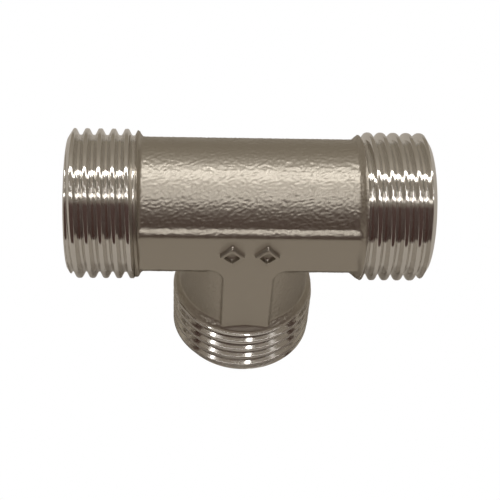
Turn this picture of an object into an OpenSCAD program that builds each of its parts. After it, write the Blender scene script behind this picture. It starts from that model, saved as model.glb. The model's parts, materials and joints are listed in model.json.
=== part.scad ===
// Male threaded equal tee for water pipe: a hot-forged body with three machined G 1/2 ends.
// The run lies along X, the branch points down -Z, and the axes cross at the origin.
// The tee stands on the mouth of its branch, and its wrench pads look along -Y and +Y.

/* [Overall] */
// Length of the run from mouth to mouth
run_length = 49.8; // [41:0.2:64]
// Distance from the run's axis to the branch's mouth
branch_length = 25.4; // [21:0.1:34]

/* [Forged body] */
// Diameter of the run between its collars, and of the branch's neck
body_d = 18.7; // [17.5:0.1:19.8]
// Radial drop from the threads' crests to the collars behind them
collar_drop = 0.2; // [0.2:0.02:0.3]
// Width of a collar along the pipe
collar_w = 1.1; // [0.8:0.05:2]
// Size of the bevel on a collar's body side
collar_bevel = 0.7; // [0.3:0.05:0.75]

/* [Wrench pads] */
// Distance across the front and the back wrench pad
across_pads = 18.8; // [18:0.02:19.6]
// Width of the pads on the run and on the branch
pad_w = 7; // [4:0.1:7.6]
// Radius of the pads' inner corners, where run and branch meet
pad_corner_r = 2.2; // [1:0.1:3]

/* [Forging mark] */
// Corner to corner size of one raised lozenge on the front pad
lozenge_size = 3.4; // [2.4:0.1:4.2]
// Width of a lozenge's line
lozenge_line = 0.45; // [0.3:0.05:0.6]
// Height of the lozenges above the pad
lozenge_h = 0.25; // [0.1:0.05:0.4]
// Distance between the centres of the two lozenges
lozenge_pitch = 4.8; // [4.3:0.1:6]

/* [Thread] */
// Outside diameter of the threads
thread_d = 20.8; // [20.6:0.1:25]
// Pitch of the threads
thread_pitch = 1.814; // [1.7:0.001:2.2]
// Depth of the threads from crest to root
thread_depth = 0.9; // [0.7:0.02:1]
// Width of the flat land on a crest
crest_w = 0.5; // [0.3:0.02:0.6]
// Length of a threaded end from its collar to its mouth
thread_length = 9.3; // [7.4:0.1:12]

/* [Mouths and waterway] */
// Diameter of the waterway through run and branch
bore_d = 15; // [11:0.1:15.8]
// Radial size of the bevel round a mouth
mouth_bevel = 1.2; // [0.6:0.05:1.3]
// Length of the bevel round a mouth
mouth_bevel_length = 0.75; // [0.4:0.05:1]
// Break of a mouth's inner edge
bore_break = 0.3; // [0.1:0.05:0.5]

/* [Hidden] */
$fn = 96;
forged_colour = [0.49, 0.45, 0.39];
machined_colour = [0.72, 0.70, 0.66];
thread_angle = 55;
// How far a cutter passes the surface that it cuts through
overshoot = 1;
// Distance from the crossing of the axes to the seat of each threaded end
run_seat = run_length / 2 - thread_length;
branch_seat = branch_length - thread_length;
// Half sections of the thread: a flank's width along the pipe, the flat root, and the root's radius
flank_w = thread_depth * tan(thread_angle / 2);
root_w = thread_pitch - crest_w - 2 * flank_w;
root_r = thread_d / 2 - thread_depth;
pad_y = across_pads / 2;
// Radius of a collar, and the radius at which its bevel starts from the body
collar_r = thread_d / 2 - collar_drop;
collar_foot_r = max(body_d / 2, collar_r - collar_bevel);

// Turns a child that points along +Z towards the run's end at +X
module towards_right() {
    rotate([0, 90, 0]) children();
}

// Turns a child that points along +Z towards the run's end at -X
module towards_left() {
    rotate([0, -90, 0]) children();
}

// Turns a child that points along +Z down the branch
module towards_branch() {
    rotate([180, 0, 0]) children();
}

// Draws a child and its mirror image across X = 0
module both_sides() {
    children();
    mirror([1, 0, 0]) children();
}

// One pipe arm of the forging: neck, bevelled collar, and the seat that a threaded end stands on
module forged_arm(seat) {
    rotate_extrude()
        polygon([
            [0, 0],
            [body_d / 2, 0],
            [body_d / 2, seat - collar_w],
            [collar_foot_r, seat - collar_w],
            [collar_r, seat - collar_w + collar_bevel],
            [collar_r, seat],
            [0, seat]
        ]);
}

// T-shaped outline of a wrench pad, whose ends die into the collars' bevels
module pad_outline() {
    collar_cover = collar_bevel - collar_w;
    corner = pad_w / 2 + pad_corner_r;
    square([2 * (run_seat + collar_cover), pad_w], center = true);
    translate([-pad_w / 2, -branch_seat - collar_cover])
        square([pad_w, branch_seat + collar_cover]);
    both_sides()
        difference() {
            translate([0, -corner]) square(corner);
            translate([corner, -corner]) circle(r = pad_corner_r);
        }
}

module wrench_pads() {
    rotate([90, 0, 0]) linear_extrude(across_pads, center = true) pad_outline();
}

// Raised open lozenge, the plain mark of the forging die
module lozenge() {
    outer = lozenge_size / sqrt(2);
    rotate(45)
        difference() {
            square(outer, center = true);
            square(outer - 2 * lozenge_line, center = true);
        }
}

module forging_mark() {
    rotate([90, 0, 0])
        linear_extrude(pad_y + lozenge_h)
            both_sides() translate([lozenge_pitch / 2, 0]) lozenge();
}

module waterway() {
    towards_right() cylinder(d = bore_d, h = run_length + 2 * overshoot, center = true);
    towards_branch() cylinder(d = bore_d, h = branch_length + overshoot);
}

module forged_body() {
    color(forged_colour)
        difference() {
            union() {
                towards_left() forged_arm(run_seat);
                towards_right() forged_arm(run_seat);
                towards_branch() forged_arm(branch_seat);
                wrench_pads();
                forging_mark();
            }
            waterway();
        }
}

// Turned blank of a threaded end from its seat at 0 to its mouth, with the run-out groove at the seat
module end_blank() {
    rotate_extrude()
        polygon([
            [bore_d / 2, 0],
            [root_r, 0],
            [root_r, root_w],
            [thread_d / 2, root_w + flank_w],
            [thread_d / 2, thread_length - mouth_bevel_length],
            [thread_d / 2 - mouth_bevel, thread_length],
            [bore_d / 2 + bore_break, thread_length],
            [bore_d / 2, thread_length - bore_break]
        ]);
}

// Ring that cuts one groove of the thread, centred on the height where it is drawn
module groove_cutter() {
    reach = thread_d / 2 + overshoot;
    half_mouth = root_w / 2 + (reach - root_r) * tan(thread_angle / 2);
    rotate_extrude()
        polygon([
            [root_r, -root_w / 2],
            [reach, -half_mouth],
            [reach, half_mouth],
            [root_r, root_w / 2]
        ]);
}

module threaded_end() {
    difference() {
        end_blank();
        for (z = [root_w / 2 + thread_pitch : thread_pitch : thread_length + root_w])
            translate([0, 0, z]) groove_cutter();
    }
}

module left_threaded_end() {
    color(machined_colour)
        towards_left() translate([0, 0, run_seat]) threaded_end();
}

module right_threaded_end() {
    color(machined_colour)
        towards_right() translate([0, 0, run_seat]) threaded_end();
}

module branch_threaded_end() {
    color(machined_colour)
        towards_branch() translate([0, 0, branch_seat]) threaded_end();
}

forged_body();
left_threaded_end();
right_threaded_end();
branch_threaded_end();
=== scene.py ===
import json
import math

import bmesh
import bpy
import numpy as np
from bpy.props import FloatProperty, FloatVectorProperty, IntProperty, PointerProperty
from mathutils import Euler, Matrix, Vector


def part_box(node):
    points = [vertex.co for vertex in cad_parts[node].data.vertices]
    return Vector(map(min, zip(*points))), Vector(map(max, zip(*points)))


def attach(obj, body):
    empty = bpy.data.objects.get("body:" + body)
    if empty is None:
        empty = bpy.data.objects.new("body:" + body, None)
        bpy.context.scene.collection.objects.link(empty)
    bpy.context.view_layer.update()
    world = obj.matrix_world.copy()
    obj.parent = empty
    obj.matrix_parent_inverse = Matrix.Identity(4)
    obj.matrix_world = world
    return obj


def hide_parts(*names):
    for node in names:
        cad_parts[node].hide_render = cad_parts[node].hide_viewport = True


bl_info = {
    "name": "Threaded Tee",
    "version": (1, 0, 0),
    "blender": (4, 5, 0),
    "location": "3D View > Sidebar > Tee",
    "description": "Forged nickel-plated brass tee with three male threaded ends",
    "category": "Object",
}

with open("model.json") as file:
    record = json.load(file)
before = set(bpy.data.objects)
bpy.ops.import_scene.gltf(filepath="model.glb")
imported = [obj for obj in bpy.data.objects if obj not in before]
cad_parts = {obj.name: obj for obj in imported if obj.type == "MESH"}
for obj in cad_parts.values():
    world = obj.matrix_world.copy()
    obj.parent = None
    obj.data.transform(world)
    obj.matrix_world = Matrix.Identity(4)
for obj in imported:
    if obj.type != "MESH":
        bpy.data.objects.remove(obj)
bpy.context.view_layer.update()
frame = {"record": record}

MM = 0.001
FULL_TURN = 2 * math.pi
DOUBLES = 1e-6
TIGHT = DOUBLES / 10

MOUNTS = {mount["name"]: mount for mount in frame["record"]["mounts"]}
RUN_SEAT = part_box("right_threaded_end")[0].x
RUN_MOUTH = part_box("right_threaded_end")[1].x
BRANCH_SEAT = -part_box("branch_threaded_end")[1].z
BRANCH_MOUTH = -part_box("branch_threaded_end")[0].z
CREST_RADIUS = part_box("branch_threaded_end")[1].x
BORE_RADIUS = MOUNTS["run_waterway"]["dims"]["r_mm"] * MM
PAD_FACE = abs(MOUNTS["front_wrench_pad"]["pos_m"][1])
MARK_FACE = -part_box("forged_body")[0].y
FLOOR_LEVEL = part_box("branch_threaded_end")[0].z

# A piece is drawn upwards along +Z and then turned to its place
TURN_RIGHT = Euler((0, math.pi / 2, 0)).to_matrix().to_4x4()
TURN_LEFT = Euler((0, -math.pi / 2, 0)).to_matrix().to_4x4()
TURN_DOWN = Euler((math.pi, 0, 0)).to_matrix().to_4x4()

# Each end: how it is turned, where its thread meets the collar, how far from there a crest passes
# the side that faces +Y, where round the pipe its groove runs out into the collar, in degrees,
# and how the collar rises: the distance from the seat to its foot, and the length of its slope
ENDS = {
    "left": {"turn": TURN_LEFT, "seat": RUN_SEAT, "phase": 6.99 * MM, "run_out": -142.0,
             "foot": 0.82 * MM, "slope": 0.42 * MM},
    "right": {"turn": TURN_RIGHT, "seat": RUN_SEAT, "phase": 0.77 * MM, "run_out": 20.0,
              "foot": 1.12 * MM, "slope": 0.92 * MM},
    "branch": {"turn": TURN_DOWN, "seat": BRANCH_SEAT, "phase": 0.21 * MM, "run_out": 205.0,
               "foot": 1.10 * MM, "slope": 0.85 * MM},
}


def length(name, description, default_mm, low_mm=0.01, high_mm=60.0):
    return FloatProperty(name=name, description=description, default=default_mm * MM,
                         min=low_mm * MM, max=high_mm * MM, subtype="DISTANCE", unit="LENGTH",
                         precision=5)


def share(name, description, default):
    return FloatProperty(name=name, description=description, default=default, min=0.0, max=1.0,
                         subtype="FACTOR")


def colour(name, description, default):
    return FloatVectorProperty(name=name, description=description, default=default, size=3,
                               min=0.0, max=1.0, subtype="COLOR")


class TeeForging(bpy.types.PropertyGroup):
    body_radius: length("Body radius", "Radius of the run and of the branch's neck", 9.35)
    collar_radius: length("Collar radius", "Radius of the collars behind the threads", 10.2)
    pad_width: length("Pad width", "Width of the wrench pads on the run and on the branch", 7.0)
    pad_corner: length("Pad corner", "Radius of the pads' inner corners", 2.2)
    pad_edge: length("Pad edge", "Radius that rounds the pads' edges", 0.3)
    pad_brow: length("Pad brow", "Radius of the soft edge along the top of the pads", 1.2)
    brow_rise: length("Brow rise", "How far the soft edge starts above the pads", 0.45)
    lozenge_size: length("Lozenge size", "Corner to corner size of a raised lozenge", 3.4)
    lozenge_line: length("Lozenge line", "Width of a lozenge's line", 0.45)
    lozenge_pitch: length("Lozenge pitch", "Distance between the two lozenges", 4.8)
    grain: length("Skin grain", "Size of the pebbles on the forged skin", 0.26)
    grain_height: length("Skin relief", "Height of the pebbles on the forged skin", 0.2, 0.0)
    voxel: length("Skin detail", "Size of the faces that the forged skin is made of", 0.18, 0.1)


class TeeThread(bpy.types.PropertyGroup):
    pitch: length("Pitch", "Distance from one thread to the next", 1.814)
    depth: length("Depth", "Depth of the thread from crest to root", 0.9)
    crest: length("Crest land", "Width of the flat on a crest", 0.5)
    softness: length("Softness", "Radius that rounds the crests and the roots", 0.22)
    flank: FloatProperty(name="Thread angle", description="Angle between a thread's two flanks",
                         default=math.radians(55), subtype="ANGLE", unit="ROTATION")
    bevel: length("Mouth bevel", "Radial size of the bevel round a mouth", 1.2)
    bevel_length: length("Bevel length", "Length along the pipe of the bevel round a mouth", 0.75)
    bore_break: length("Bore break", "Break of a mouth's inner edge", 0.3)
    steps: IntProperty(name="Steps", description="Faces round one turn of a thread",
                       default=144, min=24, max=256)


class TeeFinish(bpy.types.PropertyGroup):
    forged: colour("Forged nickel", "Colour of the plated forging", (0.66, 0.555, 0.425))
    forged_stain: colour("Forged stain", "Colour of the forging's darker patches",
                         (0.47, 0.39, 0.31))
    forged_gloss: share("Forged roughness", "Roughness of the pebbled skin", 0.09)
    pad_gloss: share("Pad roughness", "Roughness of the wrench pads", 0.36)
    machined: colour("Machined nickel", "Colour of the plated threads", (0.72, 0.69, 0.64))
    machined_stain: colour("Machined stain", "Colour of the threads' darker patches",
                           (0.56, 0.50, 0.42))
    machined_gloss: share("Machined roughness", "Roughness of the turned surfaces", 0.07)
    floor: colour("Floor", "Colour of the floor", (0.60, 0.575, 0.535))


# Sizes that only the modelling needs
PAST_SEAT = 1.0 * MM        # how far an arm is drawn past its seat before it is cut flat there
AXIS_CLEAR = 1.0 * MM       # an arm's section has no bend this near to the crossing,
END_CLEAR = 0.3 * MM        # or this near to its far end
PAD_SHORT = 0.6 * MM        # how far the pads stop short of a seat
COLLAR_FILLET = 0.25 * MM
MOUTH_FILLET = 0.06 * MM
RIM_FLAT = 0.08 * MM        # rim of the collar on a threaded end, before it rises to the crests
RIM_SLOPE = 0.3 * MM
PROUD = 0.2 * MM            # how far a blank stands above the crests that are cut from it
CUTTER_REACH = 0.25 * MM    # how far a groove's cutter stands above the crests
CUTTER_SLIVER = 0.02 * MM   # depth that is left of the cutter where its taper starts
RUN_OUT_SHARE = 0.14        # share of a turn over which a groove gets its full depth
ROUND_STEPS = 192           # faces round an arm and round a bore
MARK_DEPTH = 1.0 * MM       # height of a lozenge's block, most of it sunk in the pad
PAD_RIM = 0.2 * MM          # how far inside its outline a pad starts to be flat
PAD_FADE = 0.25 * MM
PAD_NEAR = 0.45 * MM        # how far under a pad's face its flatness starts
NEAR_FADE = 0.3 * MM
SKIN_LEVELS = 10            # steps of relief from the skin to the pads
PAD_CALM = 0.86             # share of the relief that the pads lose
SMOOTH_ANGLE = math.radians(38)
CORNER_ANGLE = math.radians(60)


# ---------------------------------------------------------------- modelling by hand, in code


def deselect():
    if bpy.context.object is not None and bpy.context.object.mode != "OBJECT":
        bpy.ops.object.mode_set(mode="OBJECT")
    bpy.ops.object.select_all(action="DESELECT")


def take(piece):
    """Makes a piece the only selected one."""
    deselect()
    piece.select_set(True)
    bpy.context.view_layer.objects.active = piece
    return piece


def edit(piece):
    """Opens a piece in edit mode with all of it selected."""
    take(piece)
    bpy.ops.object.mode_set(mode="EDIT")
    bpy.ops.mesh.select_mode(type="VERT")
    bpy.ops.mesh.select_all(action="SELECT")


def close_edit():
    bpy.ops.object.mode_set(mode="OBJECT")


def draw_line(name, points):
    """Draws a section in the XZ plane, point after point, by extruding one vertex."""
    deselect()
    bpy.ops.mesh.primitive_plane_add(size=MM, location=(0, 0, 0))
    line = bpy.context.object
    line.name = name
    edit(line)
    bpy.ops.mesh.merge(type="CENTER")
    here = Vector((points[0][0], 0, points[0][1]))
    bpy.ops.transform.translate(value=here)
    for across, along in points[1:]:
        there = Vector((across, 0, along))
        bpy.ops.mesh.extrude_vertices_move(TRANSFORM_OT_translate={"value": there - here})
        here = there
    close_edit()
    return line


def settle(piece):
    """Merges doubled points and turns all faces outwards."""
    edit(piece)
    bpy.ops.mesh.remove_doubles(threshold=DOUBLES)
    bpy.ops.mesh.dissolve_degenerate(threshold=TIGHT)
    bpy.ops.mesh.normals_make_consistent(inside=False)
    close_edit()
    return piece


def turn_section(name, points, steps):
    """Turns a closed section round Z."""
    piece = draw_line(name, list(points) + [points[0]])
    edit(piece)
    bpy.ops.mesh.remove_doubles(threshold=DOUBLES)
    bpy.ops.mesh.spin(steps=steps, angle=FULL_TURN, center=(0, 0, 0), axis=(0, 0, 1))
    close_edit()
    return settle(piece)


def apply_modifier(piece, kind, **settings):
    take(piece)
    modifier = piece.modifiers.new(kind.lower(), kind)
    for key, value in settings.items():
        setattr(modifier, key, value)
    bpy.ops.object.modifier_apply(modifier=modifier.name)


def combine(piece, tool, operation):
    """Cuts, keeps or adds by a second solid, which is used up."""
    apply_modifier(piece, "BOOLEAN", operation=operation, object=tool, solver="MANIFOLD")
    bpy.data.objects.remove(tool)


def place(piece, turn, along=0.0):
    """Moves a piece that was drawn along Z out to its seat and turns it, all in its mesh."""
    piece.matrix_world = turn @ Matrix.Translation((0, 0, along))
    take(piece)
    bpy.ops.object.transform_apply(location=True, rotation=True, scale=True)


def slice_off(piece, point, outwards):
    """Cuts a piece flat at a plane and closes the cut."""
    edit(piece)
    bpy.ops.mesh.bisect(plane_co=point, plane_no=outwards, use_fill=True, clear_outer=True,
                        threshold=TIGHT)
    close_edit()


def points_of(piece):
    co = np.empty(len(piece.data.vertices) * 3, np.float32)
    piece.data.vertices.foreach_get("co", co)
    return co.reshape(-1, 3).astype(float)


def move_points(piece, co):
    piece.data.vertices.foreach_set("co", co.astype(np.float32).ravel())
    piece.data.update()


def arc(centre, radius, start, end, count):
    """Points on an arc, with angles in degrees."""
    return [(centre[0] + radius * math.cos(math.radians(a)),
             centre[1] + radius * math.sin(math.radians(a)))
            for a in np.linspace(start, end, count)]


def rounded(points, radius, count=4):
    """A polyline whose inner corners are replaced by arcs of one radius."""
    result = [points[0]]
    for before, corner, after in zip(points, points[1:], points[2:]):
        p, c, n = Vector(before), Vector(corner), Vector(after)
        a, b = (p - c).normalized(), (n - c).normalized()
        half = a.angle(b) / 2
        # Two bends share a side between them, and a side at either end has only one
        share_in = 0.98 if before == points[0] else 0.48
        share_out = 0.98 if after == points[-1] else 0.48
        reach = min(radius / math.tan(half), (p - c).length * share_in,
                    (n - c).length * share_out)
        bend = reach * math.tan(half)
        middle = c + (a + b).normalized() * bend / math.sin(half)
        start, end = c + a * reach - middle, c + b * reach - middle
        sweep = start.angle_signed(end)
        first = math.atan2(start.y, start.x)
        for k in range(count + 1):
            angle = first - sweep * k / count
            result.append((middle.x + bend * math.cos(angle), middle.y + bend * math.sin(angle)))
    result.append(points[-1])
    return result


# ---------------------------------------------------------------- the threads


def groove_section(thread):
    """Half sections of one groove: half of its mouth on the crests, and half of its root."""
    flank = thread.depth * math.tan(thread.flank / 2)
    mouth = (thread.pitch - thread.crest) / 2
    return mouth, mouth - flank


def sweep_thread(line, thread, turns):
    """Sweeps a section round Z along a right-hand helix."""
    apply_modifier(line, "SCREW", axis="Z", angle=FULL_TURN, screw_offset=thread.pitch,
                   iterations=turns, steps=thread.steps, render_steps=thread.steps,
                   use_merge_vertices=False, use_normal_calculate=True)
    return line


def threaded_bar(thread, phase, far_end):
    """Threaded bar along Z, from below the seat to past the mouth, with a crest at phase."""
    mouth, root = groove_section(thread)
    root_radius = CREST_RADIUS - thread.depth
    one_pitch = rounded([
        (CREST_RADIUS, 0.0),
        (CREST_RADIUS, thread.crest / 2),
        (root_radius, thread.crest / 2 + mouth - root),
        (root_radius, thread.pitch - thread.crest / 2 - mouth + root),
        (CREST_RADIUS, thread.pitch - thread.crest / 2),
        (CREST_RADIUS, thread.pitch),
    ], thread.softness)
    # The helix starts whole pitches below the seat, so that both of its ends are cut off
    lowest = phase - math.ceil((phase + 3 * thread.pitch) / thread.pitch) * thread.pitch
    turns = math.ceil((far_end - lowest) / thread.pitch) + 2
    line = draw_line("thread", [(radius, lowest + along) for radius, along in one_pitch])
    bar = settle(sweep_thread(line, thread, turns))
    slice_off(bar, (0, 0, far_end + thread.pitch / 2), (0, 0, 1))
    slice_off(bar, (0, 0, -thread.pitch / 2), (0, 0, -1))
    return settle(bar)


def end_blank(thread, forging, far_end):
    """Turned blank that a threaded end is cut from: the collar's rim, the barrel and the mouth."""
    proud = CREST_RADIUS + PROUD
    slope = thread.bevel_length / thread.bevel
    outside = rounded([
        (BORE_RADIUS, 0.0),
        (forging.collar_radius, 0.0),
        (forging.collar_radius, RIM_FLAT),
        (proud, RIM_SLOPE),
        (proud, far_end - thread.bevel_length - slope * PROUD),
        (CREST_RADIUS - thread.bevel, far_end),
        (BORE_RADIUS + thread.bore_break, far_end),
        (BORE_RADIUS, far_end - thread.bore_break),
        (BORE_RADIUS, 0.0),
    ], MOUTH_FILLET, 3)
    return turn_section("blank", outside[:-1], 2 * thread.steps)


def groove_cutter(thread, phase, run_out):
    """Helical cutter of the one groove that runs into a collar, tapered where it starts."""
    mouth, root = groove_section(thread)
    root_radius = CREST_RADIUS - thread.depth
    top = CREST_RADIUS + CUTTER_REACH
    wide = mouth + CUTTER_REACH * math.tan(thread.flank / 2)
    section = rounded([
        (top, -wide),
        (root_radius, -root),
        (root_radius, root),
        (top, wide),
    ], thread.softness)
    # The groove lies half a pitch from the crest, which is at its phase's height at 90 degrees
    start = math.radians(run_out)
    middle = phase + thread.pitch * ((start - math.pi / 2) / FULL_TURN + 0.5)
    middle -= math.floor(middle / thread.pitch + 0.5) * thread.pitch
    line = draw_line("groove", [(r, middle + z) for r, z in section + section[:1]])
    edit(line)
    bpy.ops.mesh.remove_doubles(threshold=DOUBLES)
    close_edit()
    count = len(line.data.vertices)
    cutter = sweep_thread(line, thread, 2)
    co = points_of(cutter)
    ring = np.arange(len(co)) // count
    taper = np.clip(1 - ring / (thread.steps * RUN_OUT_SHARE), 0, 1) ** 2
    radius = np.hypot(co[:, 0], co[:, 1])
    # The taper lifts the root almost to the cutter's top, but never quite, so that no face folds
    wanted = radius + taper * (thread.depth + CUTTER_REACH) * 0.98
    shallow = top - CUTTER_SLIVER * (top - radius) / thread.depth
    wanted = np.where(radius < top - DOUBLES, np.minimum(wanted, shallow), radius)
    co[:, :2] *= (wanted / radius)[:, None]
    move_points(cutter, co)
    edit(cutter)
    bpy.ops.mesh.select_all(action="DESELECT")
    bpy.ops.mesh.select_non_manifold()
    bpy.ops.mesh.fill_holes(sides=0)
    bpy.ops.mesh.select_all(action="SELECT")
    bpy.ops.mesh.normals_make_consistent(inside=False)
    close_edit()
    place(cutter, Euler((0, 0, start)).to_matrix().to_4x4())
    return cutter


def model_threaded_end(name, thread, forging):
    """One threaded end, at its place: a turned blank that keeps only what the bar has."""
    end = ENDS[name]
    mouth = (BRANCH_MOUTH if name == "branch" else RUN_MOUTH) - end["seat"]
    # The crest climbs a quarter of a pitch before it reaches the side that faces +Y
    phase = end["phase"] - thread.pitch / 4
    piece = end_blank(thread, forging, mouth)
    combine(piece, threaded_bar(thread, phase, mouth), "INTERSECT")
    settle(piece)
    place(piece, end["turn"], end["seat"])
    piece.name = name + "_threads"
    return piece


# ---------------------------------------------------------------- the forging


def forged_arm(forging, name):
    """One arm of the forging along Z, from the crossing to just past its seat."""
    seat = ENDS[name]["seat"]
    past = seat + PAST_SEAT
    foot = seat - ENDS[name]["foot"]
    outside = rounded([
        (0.0, 0.0),
        (forging.body_radius, 0.0),
        (forging.body_radius, foot),
        (forging.collar_radius, foot + ENDS[name]["slope"]),
        (forging.collar_radius, past),
        (0.0, past),
    ], COLLAR_FILLET)
    # The two points on the axis and the two flat ends keep their corners
    outside = [(0.0, 0.0), (forging.body_radius, 0.0)] + [
        p for p in outside if AXIS_CLEAR < p[1] < past - END_CLEAR
    ] + [(forging.collar_radius, past), (0.0, past)]
    arm = turn_section("arm_" + name, outside, ROUND_STEPS)
    place(arm, ENDS[name]["turn"])
    return arm


def pad_outline(forging):
    """Right half of the T-shaped outline, in the XZ plane, from its top round to its foot."""
    half = forging.pad_width / 2
    corner = half + forging.pad_corner
    run = RUN_SEAT - PAD_SHORT
    branch = BRANCH_SEAT - PAD_SHORT
    bend = arc((corner, -corner), forging.pad_corner, 90, 180, 10)
    top = half + forging.brow_rise
    return [(0.0, top), (run, top), (run, -half)] + bend + [(half, -branch), (0.0, -branch)]


def wrench_pads(forging):
    """T-shaped slab whose two faces are the wrench pads."""
    right = pad_outline(forging)
    outline = right + [(-x, z) for x, z in reversed(right[1:-1])]
    slab = draw_line("pads", outline + outline[:1])
    edit(slab)
    bpy.ops.mesh.remove_doubles(threshold=DOUBLES)
    bpy.ops.mesh.select_all(action="SELECT")
    bpy.ops.mesh.edge_face_add()
    bpy.ops.transform.translate(value=(0, -PAD_FACE, 0))
    bpy.ops.mesh.extrude_region_move(TRANSFORM_OT_translate={"value": (0, 2 * PAD_FACE, 0)})
    close_edit()
    settle(slab)
    # The long upper edge of each pad is softer than the others
    edit(slab)
    bpy.ops.mesh.select_mode(type="EDGE")
    bpy.ops.mesh.select_all(action="DESELECT")
    mesh = bmesh.from_edit_mesh(slab.data)
    top = forging.pad_width / 2 + forging.brow_rise - DOUBLES
    for edge in mesh.edges:
        one, other = (v.co for v in edge.verts)
        edge.select = min(one.z, other.z) > top and abs(one.y - other.y) < DOUBLES
    bmesh.update_edit_mesh(slab.data)
    bpy.ops.mesh.bevel(offset=forging.pad_brow, segments=8, affect="EDGES")
    close_edit()
    apply_modifier(slab, "BEVEL", width=forging.pad_edge, segments=4,
                   limit_method="ANGLE", angle_limit=CORNER_ANGLE)
    return slab


def lozenge(forging, across):
    """Raised open lozenge on the front pad."""
    deselect()
    bpy.ops.mesh.primitive_cylinder_add(vertices=4, radius=forging.lozenge_size / 2,
                                        depth=MARK_DEPTH, end_fill_type="NGON",
                                        location=(0, 0, 0))
    mark = bpy.context.object
    edit(mark)
    bpy.ops.mesh.select_mode(type="FACE")
    bpy.ops.mesh.select_all(action="DESELECT")
    mesh = bmesh.from_edit_mesh(mark.data)
    for face in mesh.faces:
        face.select = abs(face.normal.z) > 0.9
    bmesh.update_edit_mesh(mark.data)
    bpy.ops.mesh.inset(thickness=forging.lozenge_line)
    bpy.ops.mesh.bridge_edge_loops()
    bpy.ops.mesh.select_all(action="SELECT")
    bpy.ops.mesh.normals_make_consistent(inside=False)
    close_edit()
    lift = Matrix.Translation((across, -(MARK_FACE - MARK_DEPTH / 2), 0))
    mark.matrix_world = lift @ Euler((math.pi / 2, 0, 0)).to_matrix().to_4x4()
    take(mark)
    bpy.ops.object.transform_apply(location=True, rotation=True, scale=True)
    return mark


def pad_depth(co, forging):
    """How far inside the T-shaped outline each point is, in metres, negative outside it."""
    x, z = np.abs(co[:, 0]), co[:, 2]
    half = forging.pad_width / 2
    corner = half + forging.pad_corner
    run = half - np.abs(z)
    branch = np.where(z < 0, half - x, -1.0)
    joined = np.maximum(run, branch)
    bend = np.hypot(x - corner, z + corner) - forging.pad_corner
    in_bend = (x < corner) & (z > -corner) & (z < 0) & (joined < forging.pad_corner)
    filled = np.maximum(joined, np.minimum(bend, forging.pad_corner))
    return np.where(in_bend, filled, joined)


def flatness(piece, forging):
    """Where the flat pads are, from 0 on the skin to 1, for the relief and for the finish."""
    co = points_of(piece)
    inside = np.clip((pad_depth(co, forging) - PAD_RIM) / PAD_FADE, 0, 1)
    near = np.clip((np.abs(co[:, 1]) - (PAD_FACE - PAD_NEAR)) / NEAR_FADE, 0, 1)
    return inside * near


def store(piece, name, values):
    attribute = piece.data.attributes.get(name) or piece.data.attributes.new(
        name, "FLOAT", "POINT")
    attribute.data.foreach_set("value", values.astype(np.float32))


def raise_pebbles(piece, forging, group):
    """Raises the forged skin's pebbles, less where a vertex group is weaker."""
    pebbles = bpy.data.textures.new("pebbles", "CLOUDS")
    pebbles.noise_scale = forging.grain
    pebbles.noise_basis = "ORIGINAL_PERLIN"
    pebbles.noise_depth = 1
    apply_modifier(piece, "DISPLACE", texture=pebbles, texture_coords="LOCAL",
                   strength=forging.grain_height, mid_level=0.5, vertex_group=group)


def model_forging(forging, thread):
    """Joins arms, pads and lozenges in one skin, gives it its relief, and grooves and bores it."""
    arms = [forged_arm(forging, name) for name in ENDS]
    marks = [lozenge(forging, side * forging.lozenge_pitch / 2) for side in (-1, 1)]
    body = wrench_pads(forging)
    deselect()
    for piece in arms + marks + [body]:
        piece.select_set(True)
    bpy.context.view_layer.objects.active = body
    bpy.ops.object.join()
    body.name = "tee_forging"
    apply_modifier(body, "REMESH", mode="VOXEL", voxel_size=forging.voxel, adaptivity=0.0,
                   use_smooth_shade=True)
    apply_modifier(body, "SMOOTH", factor=0.5, iterations=2)
    flat = flatness(body, forging)
    skin = body.vertex_groups.new(name="skin")
    for level in range(SKIN_LEVELS + 1):
        chosen = np.nonzero(np.round(flat * SKIN_LEVELS) == level)[0]
        skin.add(chosen.tolist(), 1.0 - PAD_CALM * level / SKIN_LEVELS, "REPLACE")
    raise_pebbles(body, forging, "skin")
    slice_off(body, (RUN_SEAT, 0, 0), (1, 0, 0))
    slice_off(body, (-RUN_SEAT, 0, 0), (-1, 0, 0))
    slice_off(body, (0, 0, -BRANCH_SEAT), (0, 0, -1))
    for name, end in ENDS.items():
        cutter = groove_cutter(thread, end["phase"], end["run_out"])
        place(cutter, end["turn"], end["seat"])
        combine(body, cutter, "DIFFERENCE")
    for name, turn, depth in (("run", TURN_RIGHT, RUN_MOUTH), ("branch", TURN_DOWN, BRANCH_MOUTH)):
        deselect()
        bpy.ops.mesh.primitive_cylinder_add(vertices=ROUND_STEPS, radius=BORE_RADIUS,
                                            depth=2 * depth, location=(0, 0, 0))
        drill = bpy.context.object
        place(drill, turn, 0.0 if name == "run" else depth)
        combine(body, drill, "DIFFERENCE")
    settle(body)
    store(body, "pad_face", flatness(body, forging))
    return body


# ---------------------------------------------------------------- finishes


# Fineness of the patterns on the plating, as scales of their textures
FORGED_PATCHES = 260.0
FORGED_GRAIN = 2600.0
FORGED_PEBBLES = 2500.0
MACHINED_PATCHES = 420.0
MACHINED_GRAIN = 1500.0
# How much of the stain's colour a patch or a speck takes on
FORGED_PATCH_TINT = 0.45
FORGED_SPECK_TINT = 0.35
MACHINED_PATCH_TINT = 0.5
# How much duller a patch is on the forging, and how the gloss of the turned ends wavers
PATCH_DULLNESS = 0.08
GRAIN_DULLNESS = 0.10
GRAIN_SHINE = 0.03
# Height of the finest relief, which the mesh is too coarse for, and its share on the pads
FORGED_BUMP = 0.075 * MM
MACHINED_BUMP = 0.014 * MM
PAD_BUMP_SHARE = 0.3


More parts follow.
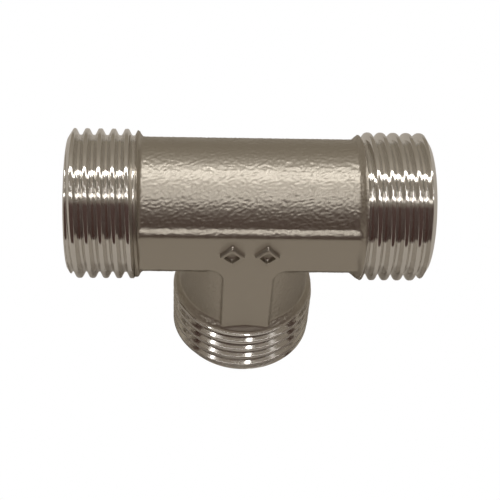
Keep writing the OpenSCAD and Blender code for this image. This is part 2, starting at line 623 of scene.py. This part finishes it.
def node(tree, kind, inputs=None, **settings):
    """Adds a node whose inputs are linked from sockets or set to values."""
    made = tree.nodes.new(kind)
    for key, value in settings.items():
        setattr(made, key, value)
    for key, value in (inputs or {}).items():
        if isinstance(value, bpy.types.NodeSocket):
            tree.links.new(value, made.inputs[key])
        else:
            made.inputs[key].default_value = value
    return made


def math_node(tree, operation, a, b=0.0, c=0.0):
    made = node(tree, "ShaderNodeMath", {0: a, 1: b, 2: c}, operation=operation)
    return made.outputs[0]


def mix_colour(tree, factor, a, b):
    made = node(tree, "ShaderNodeMix", {0: factor, 6: a, 7: b}, data_type="RGBA")
    return made.outputs[2]


def mix_value(tree, factor, a, b):
    made = node(tree, "ShaderNodeMix", {0: factor, 2: a, 3: b}, data_type="FLOAT")
    return made.outputs[0]


def noise(tree, place_socket, scale, detail, roughness):
    made = node(tree, "ShaderNodeTexNoise", {"Vector": place_socket, "Scale": scale,
                                             "Detail": detail, "Roughness": roughness})
    return made.outputs["Fac"]


def ramp(tree, value, low, high):
    """Rises softly from 0 to 1 between two values."""
    made = node(tree, "ShaderNodeMapRange", {0: value, 1: low, 2: high, 3: 0.0, 4: 1.0},
                interpolation_type="SMOOTHSTEP")
    return made.outputs[0]


def plating_group():
    """Uneven plating: patches of stain, and a fine grain for the height and the gloss."""
    group = bpy.data.node_groups.new("uneven_plating", "ShaderNodeTree")
    for name, kind in (("Place", "NodeSocketVector"), ("Patch Scale", "NodeSocketFloat"),
                       ("Grain Scale", "NodeSocketFloat")):
        group.interface.new_socket(name, in_out="INPUT", socket_type=kind)
    for name in ("Stain", "Grain", "Speck"):
        group.interface.new_socket(name, in_out="OUTPUT", socket_type="NodeSocketFloat")
    given = group.nodes.new("NodeGroupInput")
    patches = noise(group, given.outputs["Place"], given.outputs["Patch Scale"], 4.0, 0.6)
    grain = noise(group, given.outputs["Place"], given.outputs["Grain Scale"], 3.0, 0.6)
    finer = math_node(group, "MULTIPLY", given.outputs["Grain Scale"], 2.3)
    specks = noise(group, given.outputs["Place"], finer, 1.0, 0.5)
    node(group, "NodeGroupOutput", {"Stain": ramp(group, patches, 0.42, 0.68), "Grain": grain,
                                    "Speck": ramp(group, specks, 0.66, 0.78)})
    return group


def start_material(name):
    material = bpy.data.materials.new(name)
    material.use_nodes = True
    tree = material.node_tree
    tree.nodes.clear()
    shader = node(tree, "ShaderNodeBsdfPrincipled", {"Metallic": 1.0})
    node(tree, "ShaderNodeOutputMaterial", {"Surface": shader.outputs[0]})
    place_socket = node(tree, "ShaderNodeTexCoord").outputs["Object"]
    return material, tree, shader, place_socket


def rgba(value):
    return (*value, 1.0)


def forged_nickel(finish, plating):
    """Satin nickel on a shot-blasted skin, calmer and duller on the pads."""
    material, tree, shader, spot = start_material("forged_nickel")
    shared = node(tree, "ShaderNodeGroup", {"Place": spot, "Patch Scale": FORGED_PATCHES,
                                            "Grain Scale": FORGED_GRAIN}, node_tree=plating)
    flat = node(tree, "ShaderNodeAttribute", attribute_name="pad_face").outputs["Fac"]
    pebbles = node(tree, "ShaderNodeTexVoronoi", {"Vector": spot, "Scale": FORGED_PEBBLES,
                                                  "Smoothness": 0.7, "Randomness": 1.0},
                   feature="SMOOTH_F1").outputs["Distance"]
    patch = math_node(tree, "MULTIPLY", shared.outputs["Stain"], FORGED_PATCH_TINT)
    tint = mix_colour(tree, patch, rgba(finish.forged), rgba(finish.forged_stain))
    speck = math_node(tree, "MULTIPLY", shared.outputs["Speck"], FORGED_SPECK_TINT)
    worn = mix_colour(tree, speck, tint, rgba(finish.forged_stain))
    tree.links.new(worn, shader.inputs["Base Color"])
    gloss = mix_value(tree, flat, finish.forged_gloss, finish.pad_gloss)
    uneven = math_node(tree, "MULTIPLY_ADD", shared.outputs["Stain"], PATCH_DULLNESS, gloss)
    tree.links.new(uneven, shader.inputs["Roughness"])
    skin = math_node(tree, "MULTIPLY_ADD", shared.outputs["Grain"], 0.6, pebbles)
    calm = mix_value(tree, flat, 1.0, PAD_BUMP_SHARE)
    height = math_node(tree, "MULTIPLY", skin, calm)
    bump = node(tree, "ShaderNodeBump", {"Height": height, "Strength": 1.0,
                                         "Distance": FORGED_BUMP})
    tree.links.new(bump.outputs[0], shader.inputs["Normal"])
    return material


def machined_nickel(finish, plating):
    """Bright nickel on turned brass."""
    material, tree, shader, spot = start_material("machined_nickel")
    shared = node(tree, "ShaderNodeGroup", {"Place": spot, "Patch Scale": MACHINED_PATCHES,
                                            "Grain Scale": MACHINED_GRAIN}, node_tree=plating)
    patch = math_node(tree, "MULTIPLY", shared.outputs["Stain"], MACHINED_PATCH_TINT)
    tint = mix_colour(tree, patch, rgba(finish.machined), rgba(finish.machined_stain))
    tree.links.new(tint, shader.inputs["Base Color"])
    gloss = math_node(tree, "MULTIPLY_ADD", shared.outputs["Grain"], GRAIN_DULLNESS,
                      finish.machined_gloss - GRAIN_SHINE)
    tree.links.new(gloss, shader.inputs["Roughness"])
    bump = node(tree, "ShaderNodeBump", {"Height": shared.outputs["Grain"], "Strength": 0.5,
                                         "Distance": MACHINED_BUMP})
    tree.links.new(bump.outputs[0], shader.inputs["Normal"])
    return material


def finish_material(name):
    """A finish by its name, made once."""
    found = bpy.data.materials.get(name)
    if found is not None:
        return found
    finish = bpy.context.scene.tee_finish
    plating = bpy.data.node_groups.get("uneven_plating") or plating_group()
    makers = {"forged_nickel": forged_nickel, "machined_nickel": machined_nickel}
    return makers[name](finish, plating)


def hand_over(piece, node_name, slot):
    """Gives a finished piece its finish, its smooth shading and its body, and hides its CAD node.
    """
    piece.data.materials.clear()
    piece.data.materials.append(finish_material(slot))
    take(piece)
    bpy.ops.object.shade_smooth_by_angle(angle=SMOOTH_ANGLE)
    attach(piece, "root")
    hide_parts(node_name)


# ---------------------------------------------------------------- the stage


CAMERA_PLACE = (-8.943 * MM, -115.802 * MM, 116.956 * MM)
# Turn to the side, angle downwards and roll, in degrees
CAMERA_ANGLES = (4.788, 47.377, 4.074)
CAMERA_LENS = 84.526
CAMERA_SENSOR = 36.0
CAMERA_CLIP = (0.005, 10.0)
# Directions of the room's light in degrees from overhead, positive towards the front
ROOM_BANDS = (
    (-180.0, (0.40, 0.39, 0.36)),
    (-96.0, (0.40, 0.39, 0.36)),
    (-84.0, (0.24, 0.205, 0.155)),
    (-40.0, (0.27, 0.235, 0.185)),
    (-24.0, (0.36, 0.32, 0.26)),
    (4.0, (0.27, 0.235, 0.19)),
    (40.0, (0.235, 0.20, 0.165)),
    (47.0, (0.045, 0.012, 0.007)),
    (125.0, (0.035, 0.010, 0.006)),
    (180.0, (0.10, 0.07, 0.055)),
)
# Lamps: angle from overhead towards the front, sideways angle, width and length, all in degrees,
# and brightness
LAMPS = (
    (-8.0, 0.0, 4.0, 92.0, 13.0),
    (20.0, 3.0, 1.2, 70.0, 1.1),
    (32.0, 3.0, 4.0, 80.0, 4.5),
    (25.0, 5.5, 9.0, 3.0, 9.0),
    (13.0, -29.0, 7.0, 2.6, 7.0),
)
LAMP_DISTANCE = 1.4
# The floor is a pale sheet that ends a little way in front of the tee
FLOOR_WIDTH = 2.0
FLOOR_IN_FRONT = 0.095


def lay_floor(finish):
    """Lays the pale floor, which shows as plain white and lights as its own colour."""
    deselect()
    bpy.ops.mesh.primitive_plane_add(size=FLOOR_WIDTH, location=(
        0, FLOOR_WIDTH / 2 - FLOOR_IN_FRONT, FLOOR_LEVEL))
    floor = bpy.context.object
    floor.name = "studio_floor"
    material = bpy.data.materials.new("pale_floor")
    material.use_nodes = True
    tree = material.node_tree
    tree.nodes.clear()
    matt = node(tree, "ShaderNodeBsdfDiffuse", {"Color": rgba(finish.floor)})
    white = node(tree, "ShaderNodeEmission", {"Color": rgba((1.0, 1.0, 1.0)), "Strength": 1.0})
    seen = node(tree, "ShaderNodeLightPath").outputs["Is Camera Ray"]
    both = node(tree, "ShaderNodeMixShader", {0: seen, 1: matt.outputs[0], 2: white.outputs[0]})
    node(tree, "ShaderNodeOutputMaterial", {"Surface": both.outputs[0]})
    floor.data.materials.append(material)


def light_room():
    """Lights the room in bands that run from side to side, with a plain white backdrop."""
    world = bpy.data.worlds.new("studio")
    bpy.context.scene.world = world
    world.use_nodes = True
    tree = world.node_tree
    tree.nodes.clear()
    direction = node(tree, "ShaderNodeTexCoord").outputs["Generated"]
    parts = node(tree, "ShaderNodeSeparateXYZ", {0: direction})
    forward = math_node(tree, "MULTIPLY", parts.outputs["Y"], -1.0)
    tilt = math_node(tree, "ARCTAN2", forward, parts.outputs["Z"])
    share_round = math_node(tree, "MULTIPLY_ADD", tilt, 1 / FULL_TURN, 0.5)
    bands = node(tree, "ShaderNodeValToRGB", {0: share_round})
    elements = bands.color_ramp.elements
    for _ in range(len(ROOM_BANDS) - 2):
        elements.new(0.5)
    for element, (angle, tone) in zip(elements, ROOM_BANDS):
        element.position = (angle + 180.0) / 360.0
        element.color = rgba(tone)
    room = node(tree, "ShaderNodeBackground", {"Color": bands.outputs[0], "Strength": 1.0})
    white = node(tree, "ShaderNodeBackground", {"Color": rgba((1.0, 1.0, 1.0))})
    seen = node(tree, "ShaderNodeLightPath").outputs["Is Camera Ray"]
    both = node(tree, "ShaderNodeMixShader", {0: seen, 1: room.outputs[0], 2: white.outputs[0]})
    node(tree, "ShaderNodeOutputWorld", {"Surface": both.outputs[0]})


def hang_lamps():
    """Hangs long soft lamps round the tee."""
    for index, (tilt, sideways, width, long, brightness) in enumerate(LAMPS):
        deselect()
        wide = 2 * LAMP_DISTANCE * math.tan(math.radians(width / 2))
        far = 2 * LAMP_DISTANCE * math.tan(math.radians(long / 2))
        turn = Euler((math.radians(tilt), math.radians(sideways), 0)).to_matrix()
        spot = turn @ Vector((0, 0, LAMP_DISTANCE))
        bpy.ops.object.light_add(type="AREA", location=spot)
        lamp = bpy.context.object
        lamp.name = f"lamp_{index}"
        lamp.rotation_euler = turn.to_euler()
        lamp.data.shape = "RECTANGLE"
        lamp.data.size = far
        lamp.data.size_y = wide
        lamp.data.energy = brightness * math.pi * wide * far
        lamp.visible_camera = False


def set_camera():
    """Sets the camera in front of the tee and above it."""
    azimuth, elevation, roll = (math.radians(a) for a in CAMERA_ANGLES)
    look = Vector((math.sin(azimuth) * math.cos(elevation),
                   math.cos(azimuth) * math.cos(elevation), -math.sin(elevation)))
    level = Vector((math.cos(azimuth), -math.sin(azimuth), 0))
    over = level.cross(look)
    right = math.cos(roll) * level + math.sin(roll) * over
    up = -math.sin(roll) * level + math.cos(roll) * over
    deselect()
    bpy.ops.object.camera_add(location=CAMERA_PLACE)
    camera = bpy.context.object
    camera.name = "camera"
    axes = Matrix((right, up, -look)).transposed()
    camera.rotation_euler = axes.to_euler()
    camera.data.lens = CAMERA_LENS
    camera.data.sensor_width = CAMERA_SENSOR
    camera.data.clip_start, camera.data.clip_end = CAMERA_CLIP
    bpy.context.scene.camera = camera


# ---------------------------------------------------------------- operators and panel


class TEE_OT_forging(bpy.types.Operator):
    """Models the forged centre of the tee with its collars, wrench pads and waterway"""

    bl_idname = "tee.forging"
    bl_label = "Forged Centre"
    bl_options = {"REGISTER", "UNDO"}

    def execute(self, context):
        scene = context.scene
        body = model_forging(scene.tee_forging, scene.tee_thread)
        hand_over(body, "forged_body", "forged_nickel")
        return {"FINISHED"}


class TEE_OT_threaded_ends(bpy.types.Operator):
    """Models the three turned and threaded ends"""

    bl_idname = "tee.threaded_ends"
    bl_label = "Threaded Ends"
    bl_options = {"REGISTER", "UNDO"}

    def execute(self, context):
        scene = context.scene
        for name in ENDS:
            end = model_threaded_end(name, scene.tee_thread, scene.tee_forging)
            hand_over(end, name + "_threaded_end", "machined_nickel")
        return {"FINISHED"}


class TEE_OT_stage(bpy.types.Operator):
    """Sets the floor, the room's light and the camera"""

    bl_idname = "tee.stage"
    bl_label = "Stage"
    bl_options = {"REGISTER", "UNDO"}

    def execute(self, context):
        lay_floor(context.scene.tee_finish)
        light_room()
        hang_lamps()
        set_camera()
        context.scene.view_settings.view_transform = "Standard"
        return {"FINISHED"}


class TEE_PT_panel(bpy.types.Panel):
    bl_idname = "TEE_PT_panel"
    bl_label = "Threaded Tee"
    bl_space_type = "VIEW_3D"
    bl_region_type = "UI"
    bl_category = "Tee"

    def draw(self, context):
        for operator in OPERATORS:
            self.layout.operator(operator.bl_idname)
        for group in (context.scene.tee_forging, context.scene.tee_thread,
                      context.scene.tee_finish):
            box = self.layout.box()
            for name in group.__annotations__:
                box.prop(group, name)


OPERATORS = (TEE_OT_forging, TEE_OT_threaded_ends, TEE_OT_stage)
CLASSES = (TeeForging, TeeThread, TeeFinish, *OPERATORS, TEE_PT_panel)


def register():
    for cls in CLASSES:
        bpy.utils.register_class(cls)
    bpy.types.Scene.tee_forging = PointerProperty(type=TeeForging)
    bpy.types.Scene.tee_thread = PointerProperty(type=TeeThread)
    bpy.types.Scene.tee_finish = PointerProperty(type=TeeFinish)


def unregister():
    del bpy.types.Scene.tee_finish
    del bpy.types.Scene.tee_thread
    del bpy.types.Scene.tee_forging
    for cls in reversed(CLASSES):
        bpy.utils.unregister_class(cls)


def main():
    register()
    bpy.ops.tee.forging()
    bpy.ops.tee.threaded_ends()
    bpy.ops.tee.stage()


if __name__ == "__main__":
    main()
